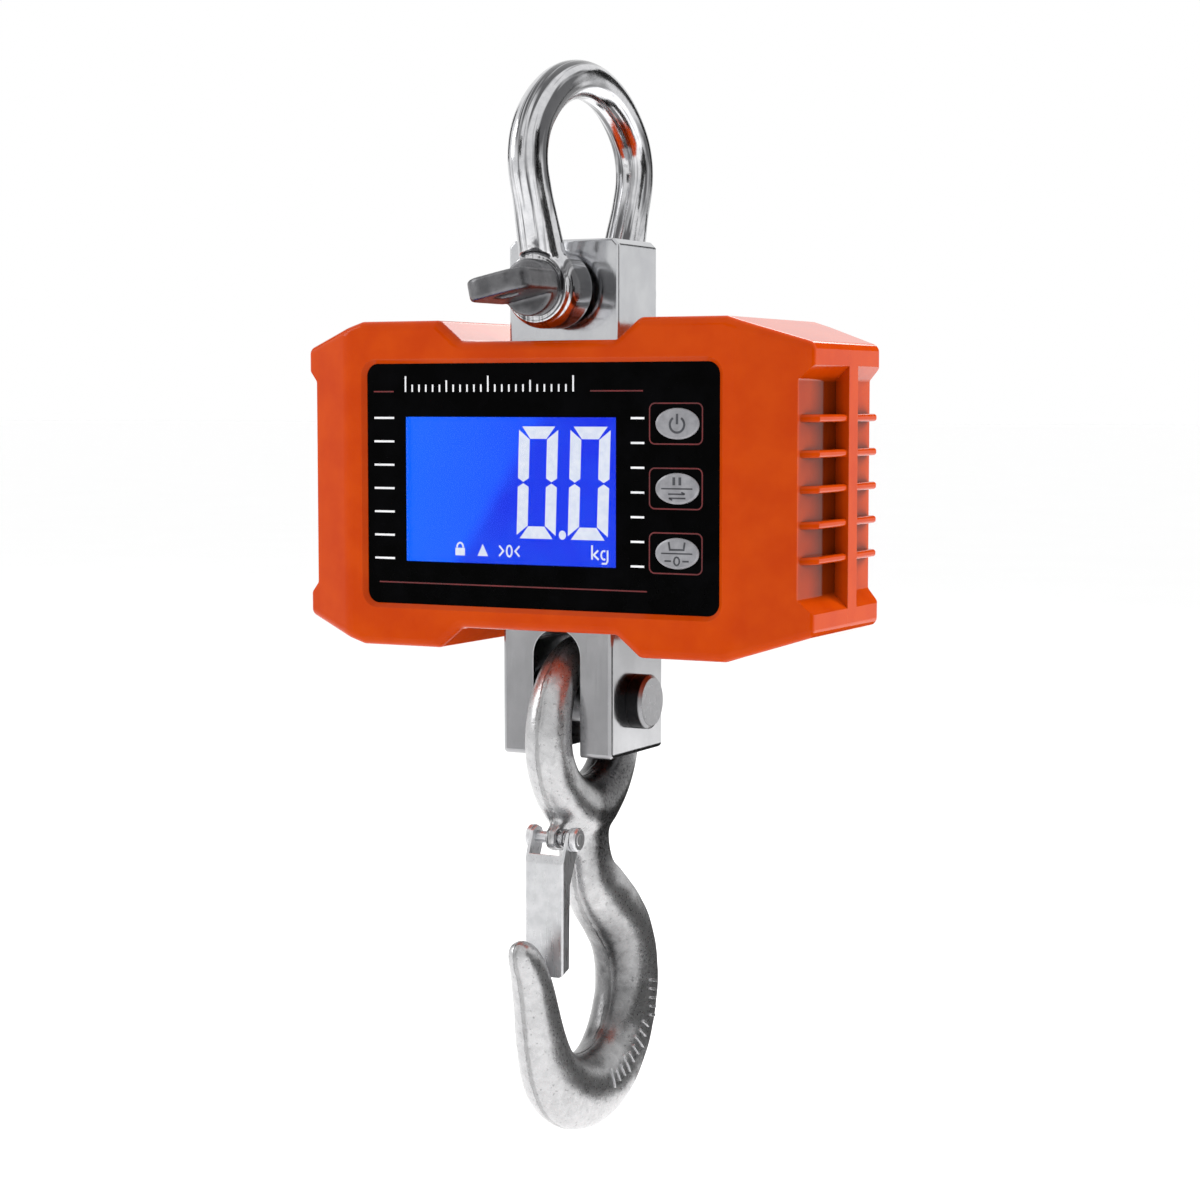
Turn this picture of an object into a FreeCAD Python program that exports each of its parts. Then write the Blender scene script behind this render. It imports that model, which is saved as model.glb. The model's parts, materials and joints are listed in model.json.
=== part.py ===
import FreeCAD, Part
import math
import os

V = FreeCAD.Vector
AX = V(1, 0, 0)
AY = V(0, 1, 0)
AZ = V(0, 0, 1)

# A hanging crane scale, in millimetres.  X runs across the display, Y from the
# display (-Y) to the battery door (+Y), Z up the load line.  Everything is drawn
# about the centre of the housing and moved down by EYE_Z when it is written, so
# the written origin is the inside top of the shackle, where the scale hangs.

# ---------------------------------------------------------------- dimensions
# load line heights
PIN_Z = 63.8            # shackle pin
BOW_TOP_Z = 133.2       # bow rod centre, top
HOOK_PIN_Z = -72.0      # pin through the clevis
LATCH_Y, LATCH_Z = -20.5, -116.5
LATCH_LEAN = -0.5       # degrees, until the latch rests on the hook's tip

# shackle
BOW_ROD_R = 6.5
BOW_HALF_W = 37.9       # rod centre, widest
BOW_WIDE_Z = 105.0
BOW_SIDE_R = 20.0
EAR_Y = 24.5            # middle of each ear
EAR_R = 13.0
EAR_T = 15.0
EAR_FLARE_R = 8.3       # rod radius where it runs into the ear
BOSS_R, BOSS_T = 11.3, 1.2
PIN_R = 8.0
COLLAR_R = 9.2
COLLAR_T = 5.6
LUG_W, LUG_L, LUG_T = 22.0, 23.0, 7.0
LUG_TURN = 12.0         # degrees the screwed-in lug stands from level
LUG_EYE_R = 4.0

# load cell block
CELL_W, CELL_D = 40.6, 28.2
CELL_TOP, CELL_BOTTOM = 80.3, -89.5
CLEVIS_W, CLEVIS_D = 40.8, 38.2
CLEVIS_TOP = -42.0      # the block is stouter from here down
SLOT_W = 17.5
SLOT_TOP = -47.3
POCKET_W, POCKET_H, POCKET_DEEP = 24.0, 30.0, 8.4
RUN = 0.05              # radial clearance of a pin that turns

# housing
HALF_W, HALF_H = 93.0, 54.0
FRONT_Y, BACK_Y = -33.5, 41.4
SPLIT_Y = 5.0
CHAMFER_X = 72.0        # where the upright bevel leaves the front face
CHAMFER_Y = 8.9
BEVEL_X, BEVEL_Z = 66.7, 45.6
NOTCH_IN, NOTCH_OUT, NOTCH_Z = 28.4, 36.9, 47.0
EDGE_R = 2.9
BEND_R = 10.0           # soft bend between front face and upright bevel
SIDE_X = 88.5           # floor of the side recess
SIDE_TOP, SIDE_BOTTOM = 34.2, -34.2
RIB_T = 7.5
FIN_T = 2.5
FIN_Z = (22.2, 11.1, 0.0, -11.1, -22.2)
IN_W, IN_H = 85.8, 50.4
IN_FRONT, IN_BACK = -28.5, 38.6

# front panel and display
PANEL_X = 64.6
PANEL_TOP, PANEL_BOTTOM = 39.8, -39.6
PANEL_R = 4.0
PANEL_FRONT, PANEL_BACK = -31.9, -30.3
PANEL_RIM = 1.5         # sloped border of the recess round the panel
LCD = (-49.9, 28.4, -25.5, 22.4)
BUTTON_X = 50.1
BUTTON_Z = (20.5, 0.1, -20.3)
BUTTON_A, BUTTON_B = 7.6, 4.9
BOARD_FRONT, BOARD_T = -20.5, 1.6

# fasteners
SHELL_SCREW_X, SHELL_SCREW_Z = 65.5, 41.0
BOARD_SCREW_X, BOARD_SCREW_Z = 54.0, 33.5
CELL_SCREW_X, CELL_SCREW_Z = 11.0, 38.0

# battery well, on the middle of the back
WELL_X, WELL_Z, WELL_FLOOR = 29.2, 26.2, 20.6
AA_R, AA_L, AA_PITCH, AA_Y = 7.1, 49.0, 16.4, 29.0
DOOR_X, DOOR_Z, DOOR_T = 39.0, 30.5, 2.0


# ---------------------------------------------------------------- helpers
def box(x0, x1, y0, y1, z0, z1):
    return Part.makeBox(x1 - x0, y1 - y0, z1 - z0, V(x0, y0, z0))


def rod(radius, length, start, along):
    return Part.makeCylinder(radius, length, V(*start), along)


def prism(points, push):
    """A flat closed outline pushed along a vector."""
    return Part.Face(Part.makePolygon([V(*p) for p in points + points[:1]])).extrude(V(*push))


def in_xz(points, y0, y1):
    return prism([(x, y0, z) for x, z in points], (0, y1 - y0, 0))


def in_xy(points, z0, z1):
    return prism([(x, y, z0) for x, y in points], (0, 0, z1 - z0))


def in_yz(points, x0, x1):
    return prism([(x0, y, z) for y, z in points], (x1 - x0, 0, 0))


def rounded_plate(x0, x1, z0, z1, y0, y1, radius):
    plate = box(x0, x1, y0, y1, z0, z1)
    upright = [e for e in plate.Edges if abs(e.tangentAt(e.FirstParameter).y) > 0.99]
    return plate.makeFillet(radius, upright)


def oval_wire(x, y, z, a, b):
    centre = V(x, y, z)
    return Part.Wire(Part.Ellipse(centre + AX * a, centre + AZ * b, centre).toShape())


def oval(x, z, a, b, y0, y1):
    """A flat elliptical disc between two depths."""
    return Part.Face(oval_wire(x, y0, z, a, b)).extrude(V(0, y1 - y0, 0))


def cut(shape, *tools):
    for tool in tools:
        shape = shape.cut(tool)
    return shape


def fuse(shape, *others):
    for other in others:
        shape = shape.fuse(other)
    return shape.removeSplitter()


def corners(x, z):
    return [(sx * x, sz * z) for sx in (-1, 1) for sz in (-1, 1)]


def section(y, z, turn, a, b):
    """An elliptical wire square to the load-line plane path.

    It stands at (0, y, z); turn is the direction of the path in degrees from +Y
    towards +Z, a the half-size in the plane of the path and b, never more than
    a, the half-size across it.
    """
    t = math.radians(turn)
    across = V(0, -math.sin(t), math.cos(t))
    centre = V(0, y, z)
    curve = Part.Ellipse(centre + across * (a + 0.002), centre + AX * b, centre)
    return Part.Wire(curve.toShape())


# ---------------------------------------------------------------- shackle
def shackle_bow():
    """Bow shackle in the Y-Z plane, ears with bores for the pin."""
    side_y = BOW_HALF_W - BOW_SIDE_R
    rise = BOW_TOP_Z - BOW_WIDE_Z
    top_r = (side_y ** 2 + rise ** 2 - BOW_SIDE_R ** 2) / (2 * (rise - BOW_SIDE_R))
    top_z = BOW_TOP_Z - top_r
    # the joint of top arc and side arc lies on the line through both centres
    lean = math.atan2(BOW_WIDE_Z - top_z, side_y)
    shoulder = (top_r * math.cos(lean), top_z + top_r * math.sin(lean))
    # leg: from the ear, tangent to the side arc
    dy, dz = side_y - EAR_Y, BOW_WIDE_Z - PIN_Z
    leg = math.atan2(dy, dz) + math.asin(BOW_SIDE_R / math.hypot(dy, dz))
    hip = (side_y + BOW_SIDE_R * math.cos(leg), BOW_WIDE_Z - BOW_SIDE_R * math.sin(leg))

    def at(s, p):
        return V(0, s * p[0], p[1])

    wide = (BOW_HALF_W, BOW_WIDE_Z)
    path = Part.Wire([
        Part.LineSegment(at(-1, (EAR_Y, PIN_Z)), at(-1, hip)).toShape(),
        Part.Arc(at(-1, hip), at(-1, wide), at(-1, shoulder)).toShape(),
        Part.Arc(at(-1, shoulder), V(0, 0, BOW_TOP_Z), at(1, shoulder)).toShape(),
        Part.Arc(at(1, shoulder), at(1, wide), at(1, hip)).toShape(),
        Part.LineSegment(at(1, hip), at(1, (EAR_Y, PIN_Z))).toShape(),
    ])
    start = V(0, -math.sin(leg), math.cos(leg))
    ring = Part.Wire(Part.Circle(at(-1, (EAR_Y, PIN_Z)), start, BOW_ROD_R).toShape())
    bow = path.makePipeShell([ring], True, True)
    for s in (-1, 1):
        along = V(0, s * math.sin(leg), math.cos(leg))
        bow = bow.fuse(Part.makeCone(EAR_FLARE_R, BOW_ROD_R, 30.0, at(s, (EAR_Y, PIN_Z)), along))
        ear = rod(EAR_R, EAR_T, (0, s * EAR_Y - EAR_T / 2, PIN_Z), AY)
        outer = [e for e in ear.Edges if len(e.Vertexes) == 1
                 and abs(e.Curve.Center.y - s * (EAR_Y + EAR_T / 2)) < 0.01]
        inner = [e for e in ear.Edges if len(e.Vertexes) == 1
                 and abs(e.Curve.Center.y - s * (EAR_Y - EAR_T / 2)) < 0.01]
        ear = ear.makeFillet(4.0, outer).makeFillet(1.2, inner)
        bow = bow.fuse(ear)
    # a raised boss with a turned groove carries the collar of the pin
    face_y = -EAR_Y - EAR_T / 2
    boss = rod(BOSS_R, BOSS_T + 4, (0, face_y - BOSS_T, PIN_Z), AY)
    boss = boss.makeFillet(0.6, [e for e in boss.Edges if len(e.Vertexes) == 1
                                 and e.Curve.Center.y < face_y])
    groove = rod(10.5, 0.7, (0, face_y - BOSS_T, PIN_Z), AY).cut(
        rod(9.9, 0.7, (0, face_y - BOSS_T, PIN_Z), AY))
    # front ear is bored to clear the pin, the rear one carries its thread
    front_bore = rod(PIN_R + 0.3, EAR_T + 4, (0, face_y - 3, PIN_Z), AY)
    rear_bore = rod(PIN_R + 0.02, EAR_T + 2, (0, EAR_Y - EAR_T / 2 - 1, PIN_Z), AY)
    spots = [rod(BOSS_R + 0.3, 12.0, (0, y, PIN_Z), AY) for y in (face_y - BOSS_T - 12.0, -face_y)]
    return cut(cut(bow, *spots).fuse(boss), groove, front_bore, rear_bore)


def shackle_pin():
    """Screw pin: shank, collar and flat lug with an eye for a seizing wire."""
    face_y = -EAR_Y - EAR_T / 2 - BOSS_T - 0.02
    shank = rod(PIN_R, EAR_Y + EAR_T / 2 + 2.0 - face_y, (0, face_y, PIN_Z), AY)
    shank = shank.makeChamfer(1.0, [e for e in shank.Edges if len(e.Vertexes) == 1
                                    and e.Curve.Center.y > 0])
    collar = rod(COLLAR_R, COLLAR_T, (0, face_y - COLLAR_T, PIN_Z), AY)
    collar = collar.makeFillet(1.1, [e for e in collar.Edges if len(e.Vertexes) == 1
                                     and e.Curve.Center.y < face_y - 1])
    root_y = face_y - COLLAR_T
    w, t = LUG_W / 2, LUG_T / 2
    lug = box(-w, w, root_y - LUG_L, root_y + 1, -t, t)
    front = [e for e in lug.Edges if abs(e.tangentAt(e.FirstParameter).z) > 0.99
             and e.CenterOfMass.y < root_y - LUG_L + 1]
    lug = lug.makeFillet(6.5, front)
    flat = [e for e in lug.Edges if abs(abs(e.CenterOfMass.z) - t) < 0.01
            and e.CenterOfMass.y < root_y]
    lug = lug.makeFillet(1.3, flat)
    eye = rod(LUG_EYE_R, LUG_T + 4, (0, root_y - LUG_L + 9.0, -t - 2), AZ)
    lug = lug.cut(eye)
    lug.rotate(V(0, 0, 0), AY, -LUG_TURN)
    lug.translate(V(0, 0, PIN_Z))
    return fuse(shank, collar, lug)


# ---------------------------------------------------------------- load cell
def load_cell():
    """Square bar: shackle bore on top, gauge pockets, stouter clevis below."""
    w, d = CELL_W / 2, CELL_D / 2
    bar = box(-w, w, -d, d, CLEVIS_TOP - 5, CELL_TOP)
    top_sides = [e for e in bar.Edges if abs(e.CenterOfMass.z - CELL_TOP) < 0.01
                 and abs(e.tangentAt(e.FirstParameter).y) > 0.99]
    bar = bar.makeChamfer(2.0, top_sides)
    bar = bar.makeFillet(0.9, [e for e in bar.Edges if e.CenterOfMass.z > CLEVIS_TOP])
    cw, cd = CLEVIS_W / 2, CLEVIS_D / 2
    clevis = box(-cw, cw, -cd, cd, CELL_BOTTOM, CLEVIS_TOP)
    clevis = clevis.makeFillet(1.5, clevis.Edges)
    bore = rod(PIN_R + RUN, CELL_D + 2, (0, -d - 1, PIN_Z), AY)
    r = SLOT_W / 2
    slot = box(-r, r, -cd - 1, cd + 1, CELL_BOTTOM - 1, SLOT_TOP - r)
    crown = rod(r, CLEVIS_D + 2, (0, -cd - 1, SLOT_TOP - r), AY)
    cross = rod(PIN_R + 0.02, CLEVIS_W + 2, (-cw - 1, 0, HOOK_PIN_Z), AX)
    bar = cut(fuse(bar, clevis), bore, fuse(slot, crown), cross)
    for s in (-1, 1):
        y0, y1 = sorted((s * (d - POCKET_DEEP), s * (d + 1)))
        bar = bar.cut(rounded_plate(-POCKET_W / 2, POCKET_W / 2, -POCKET_H / 2,
                                    POCKET_H / 2, y0, y1, 5.0))
        bar = bar.cut(rod(2.55, 12.0, (s * CELL_SCREW_X, d - 11.0, CELL_SCREW_Z), AY))
    return bar


def strain_gauge(side):
    floor = CELL_D / 2 - POCKET_DEEP
    y0, y1 = sorted((side * floor, side * (floor + 0.3)))
    gauge = box(-6, 6, y0, y1, -6, 6)
    gauge.rotate(V(0, 0, 0), AY, 45)
    return gauge


def gauge_potting(side):
    y0, y1 = sorted((side * (CELL_D / 2 - POCKET_DEEP), side * (CELL_D / 2 - 0.6)))
    fill = rounded_plate(-POCKET_W / 2, POCKET_W / 2, -POCKET_H / 2, POCKET_H / 2, y0, y1, 5.0)
    return fill.cut(strain_gauge(side))


def block_opening(top, grow, z0, z1):
    """The rectangular way through the housing for the block."""
    w, d = (CELL_W, CELL_D) if top else (CLEVIS_W, CLEVIS_D)
    x, y = w / 2 + grow, d / 2 + grow
    return box(-x, x, -y, y, z0, z1)


def block_seal(top):
    """Rubber ring between the block and the housing opening."""
    z0 = NOTCH_Z - 2.4 if top else -NOTCH_Z + 0.8
    ring = block_opening(top, 1.45, z0, z0 + 1.6)
    return ring.cut(block_opening(top, 0.05, z0 - 1, z0 + 3))


def cell_screw(side):
    """Socket head screw from the back of the housing into the block."""
    x, z = side * CELL_SCREW_X, CELL_SCREW_Z
    shank = rod(2.5, 31.0, (x, CELL_D / 2 - 9.0, z), AY)
    head = rod(4.2, 3.6, (x, CELL_D / 2 + 22.0, z), AY)
    socket = rod(2.0, 2.2, (x, CELL_D / 2 + 23.9, z), AY)
    return fuse(shank, head).cut(socket)


# ---------------------------------------------------------------- housing
def outline(w, h, bevel_x, bevel_z, notch_in, notch_out, notch_z):
    right = [(notch_in, notch_z), (notch_out, h), (bevel_x, h), (w, bevel_z)]
    right += [(x, -z) for x, z in reversed(right)]
    return right + [(-x, z) for x, z in reversed(right)]


def plan(w, y0, y1, bevel_x, bevel_y):
    right = [(bevel_x, y0), (w, y0 + bevel_y), (w, y1 - bevel_y), (bevel_x, y1)]
    return right + [(-x, y) for x, y in reversed(right)]


def housing_outer():
    face = outline(HALF_W, HALF_H, BEVEL_X, BEVEL_Z, NOTCH_IN, NOTCH_OUT, NOTCH_Z)
    top_view = plan(HALF_W, FRONT_Y, BACK_Y, CHAMFER_X, CHAMFER_Y)
    upright = in_xy(top_view, -HALF_H - 5, HALF_H + 5)
    bends = [e for e in upright.Edges if abs(abs(e.CenterOfMass.x) - CHAMFER_X) < 0.01
             and abs(e.CenterOfMass.y - FRONT_Y) < 0.01]
    upright = upright.makeFillet(BEND_R, bends)
    body = in_xz(face, FRONT_Y, BACK_Y).common(upright)
    soft = [e for e in body.Edges if not (
        abs(e.tangentAt(e.FirstParameter).z) > 0.99 and e.CenterOfMass.y < FRONT_Y + 2)]
    return body.makeFillet(EDGE_R, soft)


def housing_cavity():
    face = outline(IN_W, IN_H, 66.3, 44.8, 29.6, 39.3, NOTCH_Z - 2.7)
    top_view = plan(IN_W, IN_FRONT, IN_BACK, 70.5, 6.8)
    return in_xz(face, IN_FRONT, IN_BACK).common(in_xy(top_view, -HALF_H, HALF_H))


def side_recess(side):
    """The finned recess of one side wall, less its parting rib and fins."""
    out = HALF_W + 1
    top, low = SIDE_TOP + out - SIDE_X, SIDE_BOTTOM - (out - SIDE_X)
    hollow = in_xz([(side * SIDE_X, SIDE_BOTTOM), (side * SIDE_X, SIDE_TOP),
                    (side * out, top), (side * out, low)], FRONT_Y - 1, BACK_Y + 1)
    soft = [e for e in hollow.Edges if abs(e.CenterOfMass.x - side * SIDE_X) < 0.01
            and abs(e.tangentAt(e.FirstParameter).y) > 0.99]
    hollow = hollow.makeFillet(1.6, soft)
    x0, x1 = sorted((side * (SIDE_X - 2), side * HALF_W))
    hollow = hollow.cut(box(x0, x1, SPLIT_Y, SPLIT_Y + RIB_T, -HALF_H, HALF_H))
    return hollow


def side_fins(side):
    """Five level fins with sloped ends, in line across the parting rib."""
    tip = HALF_W - 0.5
    profile = [(side * (SIDE_X - 1), -26.3), (side * tip, -18.0),
               (side * tip, 30.5), (side * (SIDE_X - 1), 35.0)]
    fins = []
    for z in FIN_Z:
        fin = in_xy(profile, z - FIN_T / 2, z + FIN_T / 2)
        rim = [e for e in fin.Edges if abs(e.CenterOfMass.x) > SIDE_X
               and abs(e.tangentAt(e.FirstParameter).z) < 0.1]
        fins.append(fin.makeFillet(1.0, rim))
    return fins


def housing_body():
    body = housing_outer()
    for side in (-1, 1):
        body = body.cut(side_recess(side))
        for fin in side_fins(side):
            body = body.fuse(fin)
    return cut(body, housing_cavity(), block_opening(True, 1.5, 0, 60),
               block_opening(False, 1.5, -60, 0))


def gasket_ring(y0, y1, inner, outer):
    """A ring that follows the middle of the wall at the parting line."""
    def loop(d):
        return in_xz(outline(86.6 + d, 51.2 + d, 66.4, 45.4 + d, 29.3 - 0.3 * d,
                             39.0 - 0.3 * d, NOTCH_Z - 1.9 + d), y0, y1)
    return loop(outer).cut(loop(inner))


def button_hole(z, grow, y0, y1):
    return oval(BUTTON_X, z, BUTTON_A + grow, BUTTON_B + grow, y0, y1)


def front_shell(body):
    """Front half: panel recess, display and button openings, screw bosses."""
    shell = body.common(box(-100, 100, FRONT_Y - 1, SPLIT_Y, -60, 60))
    recess = rounded_plate(-PANEL_X - 0.15, PANEL_X + 0.15, PANEL_BOTTOM - 0.15,
                           PANEL_TOP + 0.15, FRONT_Y - 1, PANEL_BACK, PANEL_R + 0.15)
    grow = PANEL_RIM + 0.15
    slope = rounded_plate(-PANEL_X - grow, PANEL_X + grow, PANEL_BOTTOM - grow,
                          PANEL_TOP + grow, FRONT_Y - 1, FRONT_Y + PANEL_RIM, PANEL_R + grow)
    slope = slope.makeChamfer(PANEL_RIM, [e for e in slope.Edges
                                          if e.CenterOfMass.y > FRONT_Y + PANEL_RIM - 0.01])
    window = box(LCD[0] - 3.4, LCD[1] + 3.4, PANEL_BACK - 1, IN_FRONT + 1,
                 LCD[2] - 3.1, LCD[3] + 3.1)
    shell = cut(shell, recess, slope, window)
    for z in BUTTON_Z:
        shell = shell.cut(button_hole(z, 1.6, PANEL_BACK - 1, IN_FRONT + 1))
    for x, z in corners(SHELL_SCREW_X, SHELL_SCREW_Z):
        shell = shell.fuse(rod(4.5, SPLIT_Y - IN_FRONT + 0.5, (x, IN_FRONT - 0.5, z), AY))
        shell = shell.cut(rod(1.96, 20.0, (x, SPLIT_Y - 19.0, z), AY))
    for x, z in corners(BOARD_SCREW_X, BOARD_SCREW_Z):
        shell = shell.fuse(rod(3.4, BOARD_FRONT - IN_FRONT + 0.5, (x, IN_FRONT - 0.5, z), AY))
        shell = shell.cut(rod(1.21, 7.0, (x, BOARD_FRONT - 6.5, z), AY))
    return shell.cut(gasket_ring(SPLIT_Y - 1.2, SPLIT_Y + 1, 0.0, 1.1)).removeSplitter()


def rear_shell(body):
    """Rear half: parting rib, battery well, screw pillars."""
    shell = body.common(box(-100, 100, SPLIT_Y, BACK_Y + 1, -60, 60))
    for x, z in corners(SHELL_SCREW_X, SHELL_SCREW_Z):
        shell = shell.fuse(rod(4.5, IN_BACK - SPLIT_Y + 0.5, (x, SPLIT_Y, z), AY))
        shell = cut(shell, rod(2.2, 50.0, (x, SPLIT_Y - 1, z), AY),
                    rod(3.9, 12.0, (x, BACK_Y - 5.0, z), AY))
    for s in (-1, 1):
        x = s * CELL_SCREW_X
        seat = CELL_D / 2
        shell = shell.fuse(rod(6.0, IN_BACK - seat + 0.5, (x, seat, CELL_SCREW_Z), AY))
        shell = cut(shell, rod(2.8, 40.0, (x, seat - 1, CELL_SCREW_Z), AY),
                    rod(4.5, 12.0, (x, seat + 22.0, CELL_SCREW_Z), AY))
    well = box(-WELL_X - 2, WELL_X + 2, WELL_FLOOR - 2, IN_BACK + 0.5, -WELL_Z - 2, WELL_Z + 2)
    pad = box(-DOOR_X - 2, DOOR_X + 2, IN_BACK - 3.0, IN_BACK + 0.5, -DOOR_Z - 2, DOOR_Z + 2)
    shell = shell.fuse(well).fuse(pad)
    for s in (-1, 1):
        shell = shell.fuse(rod(4.0, 14.0, (s * (WELL_X + 5.6), IN_BACK - 13.5, 0), AY))
    ledge = BACK_Y - DOOR_T - 1.0
    shell = cut(shell,
                box(-WELL_X, WELL_X, WELL_FLOOR, BACK_Y + 1, -WELL_Z, WELL_Z),
                rounded_plate(-DOOR_X - 0.2, DOOR_X + 0.2, -DOOR_Z - 0.2, DOOR_Z + 0.2,
                              ledge, BACK_Y + 1, 4.2))
    for s in (-1, 1):
        shell = shell.cut(rod(1.21, 10.0, (s * (WELL_X + 5.6), ledge - 9.0, 0), AY))
    return shell.removeSplitter()


def shell_gasket(side):
    ring = gasket_ring(SPLIT_Y - 1.15, SPLIT_Y, 0.05, 1.05)
    x0, x1 = sorted((side * 22.2, side * 100))
    return ring.common(box(x0, x1, 0, 10, -60, 60))


def shell_screw(x, z):
    """Pan head screw, sunk in the back, with a cross slot."""
    head_y = BACK_Y - 5.0
    shank = rod(1.9, head_y - SPLIT_Y + 17.0, (x, SPLIT_Y - 17.0, z), AY)
    head = rod(3.6, 2.4, (x, head_y, z), AY)
    slots = [box(x - 2.2, x + 2.2, head_y + 1.2, head_y + 3, z - 0.5, z + 0.5),
             box(x - 0.5, x + 0.5, head_y + 1.2, head_y + 3, z - 2.2, z + 2.2)]
    return cut(fuse(shank, head), *slots)


# ---------------------------------------------------------------- front panel
def control_panel():
    plate = rounded_plate(-PANEL_X, PANEL_X, PANEL_BOTTOM, PANEL_TOP,
                          PANEL_FRONT, PANEL_BACK, PANEL_R)
    plate = plate.cut(box(LCD[0], LCD[1], PANEL_FRONT - 1, PANEL_BACK + 1, LCD[2], LCD[3]))
    for z in BUTTON_Z:
        plate = plate.cut(button_hole(z, 0.15, PANEL_FRONT - 1, PANEL_BACK + 1))
    return plate


def display_window():
    """Clear lens: a plug in the panel's opening with a flange behind it."""
    plug = box(LCD[0] + 0.1, LCD[1] - 0.1, PANEL_FRONT + 0.15, PANEL_BACK,
               LCD[2] + 0.1, LCD[3] - 0.1)
    flange = box(LCD[0] - 3.0, LCD[1] + 3.0, PANEL_BACK, PANEL_BACK + 1.0,
                 LCD[2] - 2.7, LCD[3] + 2.7)
    return fuse(plug, flange)


def lcd_layer(grow, y0, y1):
    return box(LCD[0] - grow, LCD[1] + grow, y0, y1, LCD[2] - grow, LCD[3] + grow)


def lcd_frame():
    """Open tray that holds glass and light guide on the board."""
    tray = lcd_layer(4.2, IN_FRONT + 0.1, BOARD_FRONT)
    return cut(tray, lcd_layer(2.5, IN_FRONT - 1, BOARD_FRONT - 1.6),
               lcd_layer(-2.0, IN_FRONT, BOARD_FRONT + 1))


def main_board():
    board = box(-59, 60, BOARD_FRONT, BOARD_FRONT + BOARD_T, -37, 38)
    for x, z in corners(BOARD_SCREW_X, BOARD_SCREW_Z):
        board = board.cut(rod(1.5, 4, (x, BOARD_FRONT - 1, z), AY))
    y1 = BOARD_FRONT + BOARD_T
    chips = [box(30, 44, y1, y1 + 1.8, -6, 8), box(-44, -34, y1, y1 + 1.5, 10, 18),
             box(-48, -40, y1, y1 + 2.6, -22, -8)]
    return fuse(board, *chips)


def board_screw(x, z):
    y = BOARD_FRONT + BOARD_T
    return fuse(rod(1.2, BOARD_T + 5.0, (x, BOARD_FRONT - 5.0, z), AY), rod(2.4, 1.4, (x, y, z), AY))


def tact_switch(z):
    body = box(BUTTON_X - 3, BUTTON_X + 3, BOARD_FRONT - 3.4, BOARD_FRONT, z - 3, z + 3)
    return fuse(body, rod(1.7, 1.0, (BUTTON_X, BOARD_FRONT - 4.2, z), AY))


def button(z):
    """Oval key: crowned cap, flange behind the panel, stem to its switch."""
    rim_y = PANEL_FRONT - 0.15
    cap = oval(BUTTON_X, z, BUTTON_A, BUTTON_B, rim_y, PANEL_BACK + 0.1)
    crown = Part.makeLoft([oval_wire(BUTTON_X, rim_y, z, BUTTON_A, BUTTON_B),
                           oval_wire(BUTTON_X, rim_y - 0.3, z, BUTTON_A - 0.5, BUTTON_B - 0.5)],
                          True, True)
    flange = oval(BUTTON_X, z, BUTTON_A + 1.1, BUTTON_B + 1.1, PANEL_BACK + 0.05, PANEL_BACK + 0.9)
    stem = rod(2.2, 4.4, (BUTTON_X, PANEL_BACK + 0.5, z), AY)
    return fuse(cap, crown, flange, stem)


# ---------------------------------------------------------------- batteries
def battery(z, way):
    """AA cell along X; way is the side its positive button points to."""
    half = AA_L / 2
    can = rod(AA_R, AA_L, (-half, AA_Y, z), AX)
    can = can.makeFillet(0.8, [e for e in can.Edges if len(e.Vertexes) == 1])
    nub = rod(2.7, 1.4, (half - 0.2, AA_Y, z), AX)
    cell = fuse(can, nub)
    if way < 0:
        cell.rotate(V(0, AA_Y, z), AZ, 180)
    return cell


def battery_contact(side):
    """Spring strip along one end of the well, with a dimple at each cell."""
    x = side * WELL_X
    x0, x1 = sorted((x, x - side * 0.6))
    strip = box(x0, x1, AA_Y - 5.5, AA_Y + 5.5, -AA_PITCH - 6, AA_PITCH + 6)
    for i, row in enumerate((-1, 0, 1)):
        plus = (i % 2 == 0) == (side > 0)
        reach = 2.3 if plus else 3.4
        base, tip = (3.4, 2.0) if plus else (4.4, 2.6)
        bump = Part.makeCone(base, tip, reach, V(x - side * 0.5, AA_Y, row * AA_PITCH), AX * -side)
        strip = strip.fuse(bump)
    return strip.removeSplitter()


def battery_door():
    door = rounded_plate(-DOOR_X, DOOR_X, -DOOR_Z, DOOR_Z, BACK_Y - DOOR_T, BACK_Y, 4.0)
    rim = [e for e in door.Edges if abs(e.CenterOfMass.y - BACK_Y) < 0.01]
    door = door.makeChamfer(0.4, rim)
    for s in (-1, 1):
        x = s * (WELL_X + 5.6)
        door = cut(door, rod(1.5, 4, (x, BACK_Y - 3, 0), AY), rod(3.0, 2, (x, BACK_Y - 0.9, 0), AY))
    return door


def door_gasket():
    y0 = BACK_Y - DOOR_T - 1.0
    ring = rounded_plate(-WELL_X - 2.6, WELL_X + 2.6, -WELL_Z - 2.6, WELL_Z + 2.6,
                         y0, BACK_Y - DOOR_T, 4.0)
    return ring.cut(box(-WELL_X - 0.6, WELL_X + 0.6, y0 - 1, BACK_Y, -WELL_Z - 0.6, WELL_Z + 0.6))


def door_screw(side):
    x = side * (WELL_X + 5.6)
    head = rod(2.8, 0.9, (x, BACK_Y - 0.9, 0), AY)
    shank = rod(1.2, 9.0, (x, BACK_Y - 9.9, 0), AY)
    slot = box(x - 2.0, x + 2.0, BACK_Y - 0.45, BACK_Y + 1, -0.35, 0.35)
    return fuse(head, shank).cut(slot)


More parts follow.
